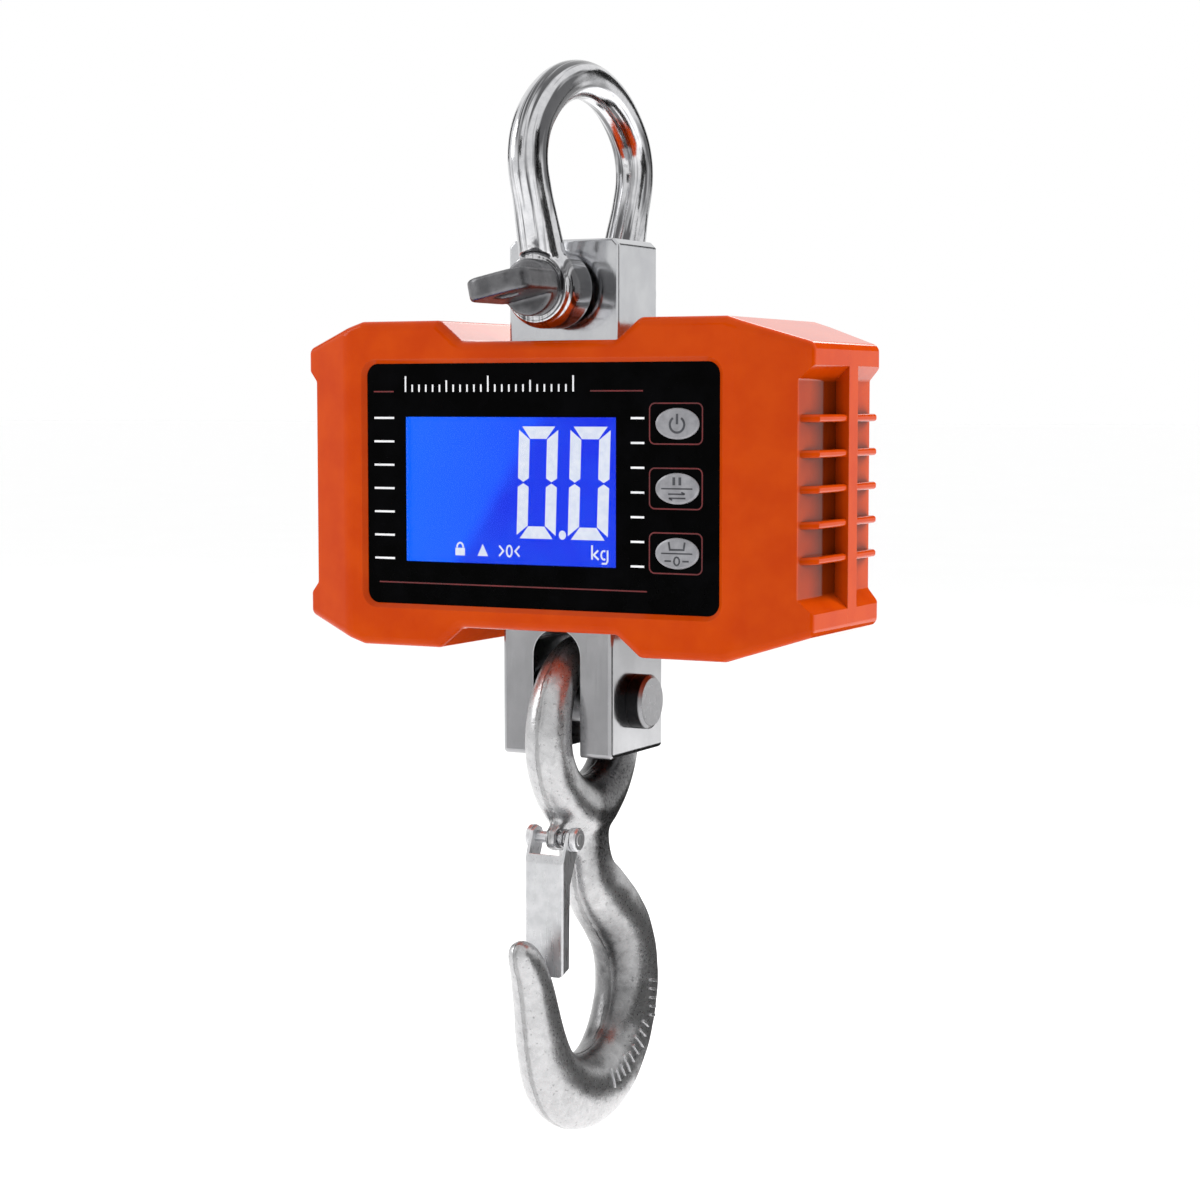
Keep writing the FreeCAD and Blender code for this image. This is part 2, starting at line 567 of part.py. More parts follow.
# ---------------------------------------------------------------- hook
def hook_pin():
    """Cross pin with a flat head on +X and a ring groove on -X."""
    w = CLEVIS_W / 2
    shank = rod(PIN_R, 2 * w + 3.4, (-w - 3.2, 0, HOOK_PIN_Z), AX)
    head = rod(9.1, 5.4, (w + 0.05, 0, HOOK_PIN_Z), AX)
    head = head.makeChamfer(1.1, [e for e in head.Edges if len(e.Vertexes) == 1
                                  and e.Curve.Center.x > w + 2])
    ring = (-w - 1.5, 0, HOOK_PIN_Z)
    groove = rod(10, 1.1, ring, AX).cut(rod(7.2, 1.1, ring, AX))
    return fuse(shank, head).cut(groove)


def pin_retainer():
    x = -CLEVIS_W / 2 - 1.45
    ring = rod(10.2, 1.0, (x, 0, HOOK_PIN_Z), AX).cut(rod(7.25, 1.0, (x, 0, HOOK_PIN_Z), AX))
    return ring.cut(box(x - 1, x + 2, -3.0, 3.0, HOOK_PIN_Z - 12, HOOK_PIN_Z))


EYE_IN = 17.0           # inside radius of the hook's eye
# eye: angle from the top, half-size in the plane, half-size across
EYE_SECTIONS = ((0, 7.0, 7.0), (45, 7.3, 7.3), (90, 7.9, 7.9), (115, 8.5, 8.2),
                (140, 9.3, 8.7), (160, 10.4, 9.4), (180, 11.5, 9.8))
# shank and bowl: y, z, path direction, half-size in the plane, half-size across
SHANK_SECTIONS = ((0.0, -104.0, -90, 11.0, 9.2), (0.0, -112.5, -90, 9.4, 8.7),
                  (0.2, -121.0, -85, 9.0, 8.6), (3.2, -131.5, -62, 10.4, 9.4),
                  (10.2, -139.8, -44, 12.0, 10.2), (18.6, -147.0, -43, 12.6, 10.6),
                  (27.3, -156.6, -60, 12.9, 10.8), (32.2, -169.5, -85, 13.1, 10.8),
                  (30.6, -184.0, -112, 13.3, 10.8), (22.0, -197.8, -136, 13.7, 10.8),
                  (7.6, -205.6, -168, 13.9, 10.6), (-8.2, -205.0, -199, 13.2, 10.2),
                  (-21.8, -197.6, -226, 11.8, 9.5), (-29.6, -184.5, -248, 10.0, 8.3),
                  (-33.9, -170.0, -257, 8.4, 7.3), (-38.1, -158.5, -245, 7.1, 6.3),
                  (-43.3, -151.0, -229, 5.6, 5.0))


def hook():
    """Forged eye hook with a lug on the throat for the latch."""
    eye_z = HOOK_PIN_Z + PIN_R + RUN - EYE_IN
    ring = None
    for s in (-1, 1):
        wires = []
        for angle, a, b in EYE_SECTIONS:
            t = math.radians(angle)
            reach = EYE_IN + a
            wires.append(section(s * reach * math.sin(t), eye_z + reach * math.cos(t),
                                 -angle if s > 0 else 180 + angle, a, b))
        half = Part.makeLoft(wires, True, False)
        ring = half if ring is None else ring.fuse(half)
    shank = Part.makeLoft([section(*row) for row in SHANK_SECTIONS], True, False)
    y, z, _, a, b = SHANK_SECTIONS[-1]
    tip = Part.makeSphere(b, V(0, y, z))
    lug = in_yz([(-4, -108), (-14, -111.2), (LATCH_Y + 1, LATCH_Z + 4.6), (LATCH_Y + 1, LATCH_Z - 4.6),
                 (-4, -124)], -2.6, 2.6)
    lug = lug.fuse(rod(4.7, 5.2, (-2.6, LATCH_Y, LATCH_Z), AX))
    body = fuse(ring, shank, tip, lug)
    return body.cut(rod(2.0 + RUN, 30, (-15, LATCH_Y, LATCH_Z), AX))


def latch_pin():
    """Rivet with a turned head at each side."""
    pin = rod(2.0, 19.0, (-9.5, LATCH_Y, LATCH_Z), AX)
    for s in (-1, 1):
        head = rod(4.0, 2.0, (7.35 if s > 0 else -9.35, LATCH_Y, LATCH_Z), AX)
        rim = [e for e in head.Edges if len(e.Vertexes) == 1
               and abs(e.Curve.Center.x) > 9]
        pin = pin.fuse(head.makeChamfer(0.6, rim))
    return pin.removeSplitter()


def safety_latch():
    """Folded sheet channel that closes the throat."""
    out, wall = 7.25, 1.1
    plate_y = LATCH_Y - 7.5
    low, high = -161.5, LATCH_Z - 8.0
    side_view = [(plate_y, low + 1), (plate_y + 4.2, low + 2.5), (plate_y + 4.6, high - 7),
                 (LATCH_Y + 2.6, LATCH_Z - 3.4), (LATCH_Y + 3.6, LATCH_Z),
                 (LATCH_Y + 2.5, LATCH_Z + 2.7), (LATCH_Y, LATCH_Z + 3.8),
                 (LATCH_Y - 3.4, LATCH_Z + 2.5), (LATCH_Y - 5.4, LATCH_Z - 2.0),
                 (plate_y, high + 0.6)]
    channel = in_yz(side_view, -out, out)
    inner = in_yz([(plate_y + wall, low - 5), (LATCH_Y + 8, low - 5), (LATCH_Y + 8, LATCH_Z + 8),
                   (plate_y + wall, LATCH_Z + 8)], wall - out, out - wall)
    channel = channel.cut(inner)
    plate = box(-out, out, plate_y, plate_y + wall, low, high)
    plate = plate.makeFillet(2.0, [e for e in plate.Edges
                                   if abs(e.tangentAt(e.FirstParameter).y) > 0.99
                                   and e.CenterOfMass.z < low + 1])
    folded = fuse(channel, plate)
    bends = [e for e in folded.Edges if abs(e.tangentAt(e.FirstParameter).z) > 0.99
             and abs(e.CenterOfMass.y - plate_y) < 0.01 and abs(abs(e.CenterOfMass.x) - out) < 0.01]
    folded = folded.makeFillet(0.9, bends)
    folded.rotate(V(0, LATCH_Y, LATCH_Z), AX, LATCH_LEAN)
    return folded.cut(rod(2.0 + RUN, 30, (-15, LATCH_Y, LATCH_Z), AX))


def latch_spring():
    """Torsion spring on the rivet: a coil each side of the lug, two legs."""
    wire = 0.5
    coils = []
    for s in (-1, 1):
        for i in range(3):
            ring = Part.makeTorus(3.0, wire, V(s * (3.3 + i * 0.98), LATCH_Y, LATCH_Z), AX)
            coils.append(ring)
    bars = [rod(0.35, 2.3, (s * 4.3 - 1.15, LATCH_Y - 3.0, LATCH_Z), AX) for s in (-1, 1)]
    legs = [rod(wire, 14.0, (s * 5.2, LATCH_Y - 3.0, LATCH_Z - 14.0), AZ) for s in (-1, 1)]
    cross = rod(wire, 10.4, (-5.2, LATCH_Y - 3.0, LATCH_Z - 14.0), AX)
    return fuse(coils[0], *coils[1:], *bars, *legs, cross)


# ---------------------------------------------------------------- all pieces
EYE_Z = BOW_TOP_Z - BOW_ROD_R


def pieces():
    yield "shackle_bow", shackle_bow()
    yield "shackle_pin", shackle_pin()
    yield "load_cell", load_cell()
    for name, side in (("front", -1), ("rear", 1)):
        yield "strain_gauge_" + name, strain_gauge(side)
        yield "gauge_potting_" + name, gauge_potting(side)
    yield "block_seal_top", block_seal(True)
    yield "block_seal_bottom", block_seal(False)
    body = housing_body()
    yield "front_shell", front_shell(body)
    yield "rear_shell", rear_shell(body)
    for name, side in (("left", -1), ("right", 1)):
        yield "cell_screw_" + name, cell_screw(side)
        yield "shell_gasket_" + name, shell_gasket(side)
        yield "battery_contact_" + name, battery_contact(side)
        yield "door_screw_" + name, door_screw(side)
    for i, (x, z) in enumerate(corners(SHELL_SCREW_X, SHELL_SCREW_Z), 1):
        yield "shell_screw_%d" % i, shell_screw(x, z)
    for i, (x, z) in enumerate(corners(BOARD_SCREW_X, BOARD_SCREW_Z), 1):
        yield "board_screw_%d" % i, board_screw(x, z)
    yield "control_panel", control_panel()
    yield "display_window", display_window()
    yield "lcd_cell", lcd_layer(2.3, PANEL_BACK + 1.1, PANEL_BACK + 3.9)
    yield "lcd_backlight", lcd_layer(2.3, PANEL_BACK + 4.0, BOARD_FRONT - 1.6)
    yield "lcd_frame", lcd_frame()
    yield "main_board", main_board()
    for name, z in zip(("power", "hold", "tare"), BUTTON_Z):
        yield "switch_" + name, tact_switch(z)
        yield "button_" + name, button(z)
    for i, row in enumerate((-1, 0, 1)):
        yield "battery_%d" % (i + 1), battery(row * AA_PITCH, 1 if i % 2 == 0 else -1)
    yield "battery_door", battery_door()
    yield "door_gasket", door_gasket()
    yield "hook_pin", hook_pin()
    yield "pin_retainer", pin_retainer()
    yield "hook", hook()
    yield "latch_pin", latch_pin()
    yield "safety_latch", safety_latch()
    yield "latch_spring", latch_spring()


os.makedirs("parts", exist_ok=True)
for name, shape in pieces():
    shape.translate(V(0, 0, -EYE_Z))
    shape.exportStep("parts/%s.step" % name)
    print(name, len(shape.Solids), shape.isValid(), round(shape.Volume, 2))
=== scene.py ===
import json
import math

import bmesh
import bpy
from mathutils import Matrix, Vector, noise
from mathutils.bvhtree import BVHTree


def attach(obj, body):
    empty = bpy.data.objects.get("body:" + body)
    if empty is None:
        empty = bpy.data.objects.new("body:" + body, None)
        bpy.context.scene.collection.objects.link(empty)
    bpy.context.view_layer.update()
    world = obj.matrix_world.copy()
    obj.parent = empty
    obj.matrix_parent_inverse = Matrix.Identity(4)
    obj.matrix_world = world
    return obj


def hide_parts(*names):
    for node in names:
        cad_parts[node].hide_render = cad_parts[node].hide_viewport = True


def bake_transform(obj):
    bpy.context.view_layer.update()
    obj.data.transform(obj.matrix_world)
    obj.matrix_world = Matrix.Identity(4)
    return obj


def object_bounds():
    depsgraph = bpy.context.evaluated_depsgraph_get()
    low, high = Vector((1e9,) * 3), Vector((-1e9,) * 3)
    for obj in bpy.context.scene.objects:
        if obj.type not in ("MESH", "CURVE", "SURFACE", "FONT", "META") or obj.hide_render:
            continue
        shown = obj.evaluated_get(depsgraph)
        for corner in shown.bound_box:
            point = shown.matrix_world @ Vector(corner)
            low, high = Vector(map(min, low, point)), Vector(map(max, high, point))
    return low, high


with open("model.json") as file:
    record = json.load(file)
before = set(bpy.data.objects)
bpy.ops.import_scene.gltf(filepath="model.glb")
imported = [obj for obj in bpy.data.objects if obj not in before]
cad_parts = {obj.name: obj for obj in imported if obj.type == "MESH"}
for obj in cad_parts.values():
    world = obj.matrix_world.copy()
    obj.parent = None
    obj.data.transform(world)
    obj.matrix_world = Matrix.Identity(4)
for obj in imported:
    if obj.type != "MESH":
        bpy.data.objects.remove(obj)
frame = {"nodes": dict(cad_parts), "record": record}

cad_box = [list(v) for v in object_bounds()]

# Lengths below are millimetres about the centre of the housing, as in the CAD
# model; P() turns them into metres in the row's frame.
EYE_Z = 126.7
NODES = frame["nodes"]


def P(x, y, z):
    return Vector((x / 1000, y / 1000, (z - EYE_Z) / 1000))


def level(z):
    """A height alone, for masks in metres."""
    return P(0, 0, z).z


# ------------------------------------------------------------------ materials
class Nodes:
    """Short spellings for building a node material."""

    def __init__(self, name):
        self.mat = bpy.data.materials.new(name)
        self.mat.use_nodes = True
        self.tree = self.mat.node_tree
        self.bsdf = self.tree.nodes["Principled BSDF"]
        self.coord = self.add("ShaderNodeTexCoord").outputs["Object"]

    def add(self, kind, **settings):
        node = self.tree.nodes.new(kind)
        for key, value in settings.items():
            setattr(node, key, value)
        return node

    def link(self, source, target):
        if isinstance(source, (int, float, tuple)):
            target.default_value = source
        else:
            self.tree.links.new(source, target)

    def set(self, **inputs):
        for key, value in inputs.items():
            self.link(value, self.bsdf.inputs[key.replace("_", " ")])

    def math(self, operation, a, b=0.0):
        node = self.add("ShaderNodeMath", operation=operation)
        self.link(a, node.inputs[0])
        self.link(b, node.inputs[1])
        return node.outputs[0]

    def times(self, a, b):
        return self.math("MULTIPLY", a, b)

    def stretch(self, scale):
        node = self.add("ShaderNodeMapping")
        self.link(self.coord, node.inputs["Vector"])
        node.inputs["Scale"].default_value = scale
        return node.outputs[0]

    def noise(self, size_mm, detail=3.0, rough=0.55, vector=None, distort=0.0):
        node = self.add("ShaderNodeTexNoise")
        self.link(vector or self.coord, node.inputs["Vector"])
        node.inputs["Scale"].default_value = 1000.0 / size_mm
        node.inputs["Detail"].default_value = detail
        node.inputs["Roughness"].default_value = rough
        node.inputs["Distortion"].default_value = distort
        return node.outputs["Fac"]

    def ramp(self, value, low, high, out_low=0.0, out_high=1.0):
        node = self.add("ShaderNodeMapRange", clamp=True)
        self.link(value, node.inputs["Value"])
        for key, v in (("From Min", low), ("From Max", high),
                       ("To Min", out_low), ("To Max", out_high)):
            node.inputs[key].default_value = v
        return node.outputs["Result"]

    def band(self, value, start, full, fade, end):
        """1 between full and fade, down to 0 at start and at end."""
        return self.times(self.ramp(value, start, full), self.ramp(value, fade, end, 1.0, 0.0))

    def mix(self, fac, a, b):
        node = self.add("ShaderNodeMix", data_type="RGBA")
        self.link(fac, node.inputs["Factor"])
        self.link(a, node.inputs["A"])
        self.link(b, node.inputs["B"])
        return node.outputs["Result"]

    def axis(self, name):
        node = self.add("ShaderNodeSeparateXYZ")
        self.link(self.coord, node.inputs[0])
        return node.outputs[name]

    def bevel(self, radius_mm):
        node = self.add("ShaderNodeBevel", samples=4)
        node.inputs["Radius"].default_value = radius_mm / 1000
        return node.outputs["Normal"]

    def edges(self, radius_mm, low=0.02, high=0.2):
        """1 on the edges of the shape, 0 on its flats."""
        geometry = self.add("ShaderNodeNewGeometry")
        dot = self.add("ShaderNodeVectorMath", operation="DOT_PRODUCT")
        self.link(self.bevel(radius_mm), dot.inputs[0])
        self.link(geometry.outputs["Normal"], dot.inputs[1])
        return self.ramp(self.math("SUBTRACT", 1.0, dot.outputs["Value"]), low, high)

    def away_from(self, z):
        """Distance in the load-line plane from a height on the load line."""
        rise = self.math("SUBTRACT", self.axis("Z"), z)
        y = self.axis("Y")
        total = self.math("ADD", self.times(rise, rise), self.times(y, y))
        return self.math("SQRT", total)

    def hollows(self, reach_mm):
        """1 on open surfaces, less down in corners and recesses."""
        node = self.add("ShaderNodeAmbientOcclusion", samples=8, only_local=True)
        node.inputs["Distance"].default_value = reach_mm / 1000
        return node.outputs["AO"]

    def bump(self, height, depth_mm, normal=None):
        node = self.add("ShaderNodeBump")
        self.link(height, node.inputs["Height"])
        node.inputs["Distance"].default_value = depth_mm / 1000
        node.inputs["Strength"].default_value = 1.0
        if normal is not None:
            self.link(normal, node.inputs["Normal"])
        self.link(node.outputs["Normal"], self.bsdf.inputs["Normal"])
        return node.outputs["Normal"]


def rgb(r, g, b):
    """Display colour 0..255 to scene linear."""
    def lin(c):
        c /= 255
        return c / 12.92 if c <= 0.04045 else ((c + 0.055) / 1.055) ** 2.4
    return (lin(r), lin(g), lin(b), 1.0)


# The side recesses of the housing, in metres: how far out their floor and lip lie, where
# their ends and the rib stand, and where the rib's painted shadow darkens the floor between the
# front wall and the rib.
RECESS_FLOOR_X, RECESS_LIP_X = 0.0884, 0.0914
RECESS_END_Z = 0.0335, 0.0365
RIB_Y = 0.0049, 0.0051
FRONT_WALL_Y = -0.0262, -0.0252
RIB_SHADOW_Y = -0.0170, -0.0060


def orange_coat():
    """Satin powder coat: fine orange peel, slight mottling, rubbed edges, painted shade in corners
    and painted rib shadows in the side recesses.
    """
    n = Nodes("orange_coat")
    mottle = n.noise(14.0, 3)
    grain = n.noise(0.7, 2)
    colour = n.mix(n.ramp(mottle, 0.35, 0.65), rgb(184, 58, 2), rgb(192, 66, 4))
    colour = n.mix(n.times(n.edges(0.6), n.ramp(n.noise(3.0), 0.3, 0.7, 0.1, 0.55)),
                   colour, rgb(222, 96, 30))
    # painted shade: corners and hollows of the coat are painted darker from ambient occlusion
    painted_corner_shade = n.ramp(n.hollows(9.0), 0.45, 0.92, 0.95, 0.0)
    # painted shadow: the rib's shadow is painted dark on the floor of the side recesses, in front
    # of the rib
    y, z = n.axis("Y"), n.math("ABSOLUTE", n.math("SUBTRACT", n.axis("Z"), level(0)))
    deep = n.ramp(n.math("ABSOLUTE", n.axis("X")), RECESS_FLOOR_X, RECESS_LIP_X, 1.0, 0.0)
    inside = n.times(n.ramp(z, *RECESS_END_Z, 1.0, 0.0), n.ramp(y, *RIB_Y, 1.0, 0.0))
    rib_shadow_fade = n.times(n.ramp(y, *FRONT_WALL_Y), n.ramp(y, *RIB_SHADOW_Y, 0.4, 1.0))
    painted_rib_shadow = n.times(deep, n.times(inside, rib_shadow_fade))
    colour = n.mix(n.math("MAXIMUM", painted_corner_shade, painted_rib_shadow), colour, rgb(84, 24, 1))
    n.set(Base_Color=colour, Roughness=n.ramp(n.noise(5.0, 4), 0.3, 0.7, 0.34, 0.44),
          Specular_IOR_Level=0.0, Coat_Weight=1.0, Coat_IOR=1.18, Coat_Roughness=0.08)
    n.bump(grain, 0.03, n.bevel(0.5))
    return n.mat


def polished_steel():
    """Bright drawn rod: dark draw streaks along it, hairline scratches, faint waves."""
    n = Nodes("polished_steel")
    wave = n.noise(9.0, 2)
    hair = n.noise(1.0, 4, vector=n.stretch((9.0, 1.2, 1.2)))
    dust = n.noise(3.5, 5, 0.7)
    streak = n.noise(2.1, 3, 0.65, vector=n.stretch((1.0, 0.03, 0.03)))
    colour = n.mix(n.ramp(dust, 0.4, 0.75), rgb(212, 212, 214), rgb(186, 187, 190))
    colour = n.mix(n.ramp(streak, 0.48, 0.58, 0.0, 0.9), colour, rgb(64, 64, 66))
    n.set(Base_Color=colour, Metallic=1.0, Roughness=n.ramp(hair, 0.3, 0.75, 0.09, 0.22))
    first = n.bump(wave, 0.12)
    n.bump(hair, 0.006, first)
    return n.mat


# The round head of the cross pin, in metres from the middle plane.
HEAD_ROOT_X, HEAD_END_X = 0.0200, 0.0246
SOFT = 0.0004


def pin_steel():
    """Grey satin steel of the pins: cast grain, lighter worn edges."""
    n = Nodes("pin_steel")
    grain = n.noise(0.8, 4)
    patch = n.noise(6.0, 3)
    colour = n.mix(n.ramp(patch, 0.35, 0.7), rgb(92, 92, 94), rgb(122, 122, 124))
    # painted shade: the side of the cross pin's head is painted near black for its shade and dark
    # reflection; its end is ground lighter
    reach = n.math("ABSOLUTE", n.axis("X"))
    side = n.band(reach, HEAD_ROOT_X, HEAD_ROOT_X + SOFT, HEAD_END_X, HEAD_END_X + SOFT)
    end = n.ramp(reach, HEAD_END_X, HEAD_END_X + SOFT)
    colour = n.mix(end, colour, rgb(146, 146, 148))
    colour = n.mix(n.times(n.edges(0.5), 0.7), colour, rgb(196, 196, 198))
    colour = n.mix(n.times(side, 0.95), colour, rgb(30, 30, 31))
    n.set(Base_Color=colour, Metallic=1.0, Roughness=n.ramp(grain, 0.3, 0.7, 0.26, 0.4))
    n.bump(grain, 0.03, n.bevel(0.35))
    return n.mat


def cell_metal():
    """Ground and nickel plated bar: near mirror, fine upright grain, the clevis a darker copy
    painted for its shade.
    """
    n = Nodes("cell_metal")
    grind = n.noise(0.6, 3, vector=n.stretch((1.0, 1.0, 0.06)))
    cloud = n.noise(11.0, 3)
    patch = n.ramp(cloud, 0.35, 0.7)
    # painted shade: the clevis below is a darker copy of the same metal
    lower = n.ramp(n.axis("Z"), level(-46), level(-43), 1.0, 0.0)
    colour = n.mix(lower, n.mix(patch, rgb(188, 189, 192), rgb(200, 201, 203)),
                   n.mix(patch, rgb(160, 160, 162), rgb(172, 172, 174)))
    colour = n.mix(n.times(n.edges(0.5), 0.8), colour, rgb(244, 244, 245))
    # painted shade: the inside of the slot is painted dark from ambient occlusion
    slot = n.times(lower, n.ramp(n.hollows(16.0), 0.45, 0.85, 0.92, 0.0))
    colour = n.mix(slot, colour, rgb(26, 26, 27))
    n.set(Base_Color=colour, Metallic=1.0, Roughness=n.ramp(grind, 0.3, 0.7, 0.10, 0.17))
    n.bump(grind, 0.003, n.bevel(0.4))
    return n.mat


EYE_RING_Z = level(-80.95)
BOWL_Z = level(-172)


def forged_steel():
    """Forged and galvanised: soft waves, fine spangle grain, pits, a flash line."""
    n = Nodes("forged_steel")
    wave = n.noise(9.0, 3, 0.5)
    grain = n.noise(0.9, 5, 0.65)
    spangle = n.noise(3.0, 4, 0.6, distort=0.6)
    pits = n.ramp(n.noise(1.6, 3, 0.6), 0.62, 0.72)
    off_plane = n.math("ADD", n.math("ABSOLUTE", n.axis("X")),
                       n.ramp(n.noise(5.0, 3), 0.3, 0.7, -0.0004, 0.0003))
    flash = n.ramp(off_plane, 0.0004, 0.0010, 1.0, 0.0)
    colour = n.mix(n.ramp(spangle, 0.35, 0.65), rgb(172, 172, 173), rgb(194, 194, 195))
    colour = n.mix(n.ramp(wave, 0.3, 0.7, 0.0, 0.6), colour, rgb(184, 184, 185))
    colour = n.mix(n.times(pits, 0.5), colour, rgb(66, 65, 64))
    colour = n.mix(n.times(flash, 0.35), colour, rgb(96, 96, 96))
    # painted shade: dark inside the eye and inside the bowl, where the load bears
    patchy = n.ramp(n.noise(5.0, 4, 0.65), 0.25, 0.6, 0.0, 0.003)
    for z, inner, outer in ((EYE_RING_Z, 0.0175, 0.0300), (BOWL_Z, 0.0190, 0.0310)):
        painted_seat_shade = n.ramp(n.math("ADD", n.away_from(z), patchy), inner, outer, 0.92, 0.0)
        colour = n.mix(painted_seat_shade, colour, rgb(38, 38, 39))
    # painted shade: the back of the neck under the eye is painted dark and speckled; only the front
    # of the neck is left bright
    low = n.band(n.axis("Z"), level(-136), level(-122), level(-98), level(-86))
    back = n.ramp(n.math("ADD", n.axis("Y"), patchy), -0.0045, -0.0010)
    scale = n.times(n.times(low, back), n.ramp(grain, 0.35, 0.6, 0.95, 0.6))
    colour = n.mix(scale, colour, rgb(44, 44, 45))
    n.set(Base_Color=colour, Metallic=0.95, Roughness=n.ramp(grain, 0.3, 0.7, 0.24, 0.36))
    first = n.bump(n.math("ADD", wave, n.times(flash, 1.2)), 0.25)
    n.bump(n.math("SUBTRACT", grain, n.times(pits, 0.8)), 0.05, first)
    return n.mat


def plated_steel():
    """Zinc plated sheet: bright, faintly rolled along its length."""
    n = Nodes("plated_steel")
    roll = n.noise(0.8, 3, vector=n.stretch((1.0, 1.0, 0.08)))
    cloud = n.noise(4.0, 4, 0.6)
    colour = n.mix(n.ramp(cloud, 0.35, 0.7), rgb(196, 197, 199), rgb(214, 214, 216))
    colour = n.mix(n.times(n.edges(0.3), 0.6), colour, rgb(245, 245, 245))
    n.set(Base_Color=colour, Metallic=0.95, Roughness=n.ramp(roll, 0.3, 0.7, 0.24, 0.38))
    n.bump(roll, 0.012, n.bevel(0.25))
    return n.mat


def bright_wire(name, dark, light, rough):
    n = Nodes(name)
    grain = n.noise(0.5, 3)
    n.set(Base_Color=n.mix(n.ramp(n.noise(2.0), 0.35, 0.7), dark, light), Metallic=1.0,
          Roughness=n.ramp(grain, 0.3, 0.7, rough, rough + 0.12))
    n.bump(grain, 0.015, n.bevel(0.15))
    return n.mat


def plastic(name, dark, light, rough, coat=0.0, grain_mm=0.5, depth_mm=0.01):
    """Moulded plastic, rubber or paint: two near tones, fine texture."""
    n = Nodes(name)
    colour = n.mix(n.ramp(n.noise(6.0, 3), 0.35, 0.65), dark, light)
    grain = n.noise(grain_mm, 3)
    n.set(Base_Color=colour, Roughness=n.ramp(n.noise(3.0, 4), 0.3, 0.7, rough, rough + 0.1),
          Coat_Weight=coat, Coat_Roughness=0.05)
    n.bump(grain, depth_mm, n.bevel(0.25))
    return n.mat


def black_panel():
    """Glossy black faceplate with faint dust and wipe marks in the gloss."""
    n = Nodes("black_panel")
    wipe = n.noise(5.0, 5, 0.65, vector=n.stretch((0.35, 1.0, 1.6)))
    n.set(Base_Color=n.mix(n.ramp(n.noise(9.0), 0.4, 0.7), rgb(1, 1, 1), rgb(4, 4, 5)),
          Roughness=n.ramp(wipe, 0.35, 0.75, 0.10, 0.22), Specular_IOR_Level=0.02)
    n.bump(n.noise(16.0, 1), 0.03, n.bevel(0.3))
    return n.mat


def glowing(name, build, strength):
    n = Nodes(name)
    colour = build(n)
    n.set(Base_Color=n.mix(0.85, colour, rgb(0, 0, 0)), Roughness=0.4, Emission_Color=colour,
          Emission_Strength=strength, Specular_IOR_Level=0.1)
    return n.mat


def lcd_blue(n):
    """Edge-lit blue: azure on the lamp side, deeper away from it, a slanting sheen."""
    across = n.ramp(n.axis("X"), -0.050, 0.028)
    tilt = n.math("ADD", n.times(n.axis("X"), 9.0), n.times(n.axis("Z"), -6.0))
    sheen = n.ramp(tilt, 0.60, 0.66)
    base = n.mix(across, rgb(12, 98, 250), rgb(14, 52, 240))
    base = n.mix(n.times(sheen, 0.75), base, rgb(4, 28, 214))
    return n.mix(n.ramp(n.noise(18.0, 2), 0.3, 0.7, 0.0, 0.2), base, rgb(24, 104, 252))


def lens():
    n = Nodes("clear_lens")
    smear = n.noise(7.0, 4, 0.6)
    n.set(Base_Color=rgb(250, 252, 255), Transmission_Weight=1.0, IOR=1.16,
          Roughness=n.ramp(smear, 0.4, 0.8, 0.0, 0.035))
    return n.mat


def button_silver():
    n = Nodes("button_silver")
    grain = n.noise(0.35, 2)
    colour = n.mix(n.ramp(n.noise(3.0, 3), 0.35, 0.7), rgb(136, 136, 140), rgb(156, 156, 160))
    colour = n.mix(n.times(n.edges(0.3), 0.7), colour, rgb(232, 233, 236))
    n.set(Base_Color=colour, Metallic=0.55, Roughness=n.ramp(grain, 0.3, 0.7, 0.32, 0.44))
    n.bump(grain, 0.008, n.bevel(0.25))
    return n.mat


MAT = {
    "orange_coat": orange_coat(),
    "polished_steel": polished_steel(),
    "pin_steel": pin_steel(),
    "cell_metal": cell_metal(),
    "forged_steel": forged_steel(),
    "plated_steel": plated_steel(),
    "spring_steel": bright_wire("spring_steel", rgb(120, 120, 122), rgb(190, 190, 192), 0.2),
    "screw_steel": bright_wire("screw_steel", rgb(110, 110, 112), rgb(160, 160, 162), 0.25),
    "black_panel": black_panel(),
    "clear_lens": lens(),
    "lcd_glass": glowing("lcd_glass", lcd_blue, 1.0),
    "backlight": glowing("backlight", lcd_blue, 0.6),
    "segment_white": glowing("segment_white", lambda n: n.mix(
        n.ramp(n.noise(2.0), 0.3, 0.7), rgb(240, 243, 252), rgb(224, 230, 246)), 0.82),
    "black_plastic": plastic("black_plastic", rgb(20, 20, 21), rgb(34, 34, 35), 0.45),
    "board_green": plastic("board_green", rgb(12, 70, 36), rgb(18, 92, 46), 0.35, 0.3),
    "black_rubber": plastic("black_rubber", rgb(22, 22, 22), rgb(36, 36, 36), 0.65, 0.0, 0.4, 0.03),
    "battery_jacket": plastic("battery_jacket", rgb(30, 32, 38), rgb(48, 52, 60), 0.25, 0.4),
    "white_potting": plastic("white_potting", rgb(214, 212, 204), rgb(228, 226, 220), 0.5),
    "gauge_foil": plastic("gauge_foil", rgb(196, 140, 66), rgb(214, 162, 88), 0.4, 0.3),
    "print_white": plastic("print_white", rgb(222, 223, 226), rgb(240, 240, 242), 0.4),
    "print_red": plastic("print_red", rgb(86, 8, 14), rgb(108, 14, 20), 0.4),
    "print_dark": plastic("print_dark", rgb(44, 45, 50), rgb(62, 64, 70), 0.4),
    "button_silver": button_silver(),
}

slot_of = {s["node"]: s["material_slot"] for s in frame["record"]["subparts"]}
for node_name, node in NODES.items():
    surface = MAT[slot_of[node_name]]
    for material_slot in node.material_slots:
        material_slot.material = surface
    if not node.material_slots:
        node.data.materials.append(surface)


